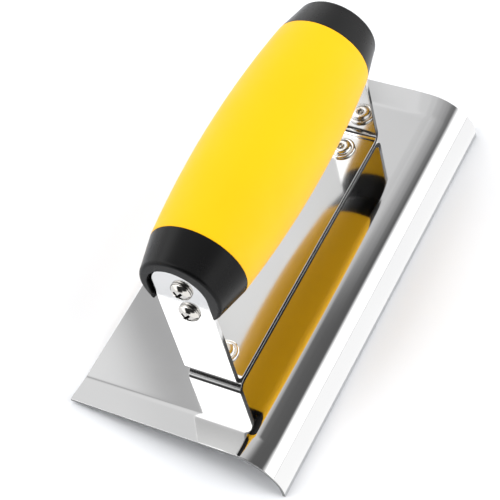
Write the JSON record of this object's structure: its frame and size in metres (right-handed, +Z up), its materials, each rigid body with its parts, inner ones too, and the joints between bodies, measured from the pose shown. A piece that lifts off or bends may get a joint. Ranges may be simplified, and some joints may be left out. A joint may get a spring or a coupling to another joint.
{
  "type": "hand edging trowel",
  "caption": "Hand edging trowel: flat polished blade with one long edge rolled down to a lip, riveted U-shaped strap bracket and barrel-shaped soft grip with black end caps.",
  "frame": {"origin": "centre of the outer box in plan, at the height of the lip's lower edge", "axes": "+X along the blade, +Z up from the blade towards the handle, the rolled edge towards -Y"},
  "size_m": [0.15, 0.0726, 0.0816],
  "materials": {
    "blade_steel": "mirror-polished stainless steel",
    "strap_steel": "bright polished steel",
    "rivet_steel": "bright plated",
    "screw_steel": "bright plated",
    "core_plastic": "moulded",
    "grip_rubber": "matt soft-touch",
    "cap_plastic": "satin moulded"
  },
  "bodies": {
    "root": {"blade": "blade_steel", "handle_bracket": "strap_steel", "rivet_near": "rivet_steel", "rivet_far": "rivet_steel", "washer_near": "rivet_steel", "washer_far": "rivet_steel", "handle_core": "core_plastic", "grip_sleeve": "grip_rubber", "end_cap_near": "cap_plastic", "end_cap_far": "cap_plastic", "screw_near_upper": "screw_steel", "screw_near_lower": "screw_steel", "screw_far_upper": "screw_steel", "screw_far_lower": "screw_steel"}
  },
  "joints": []
}
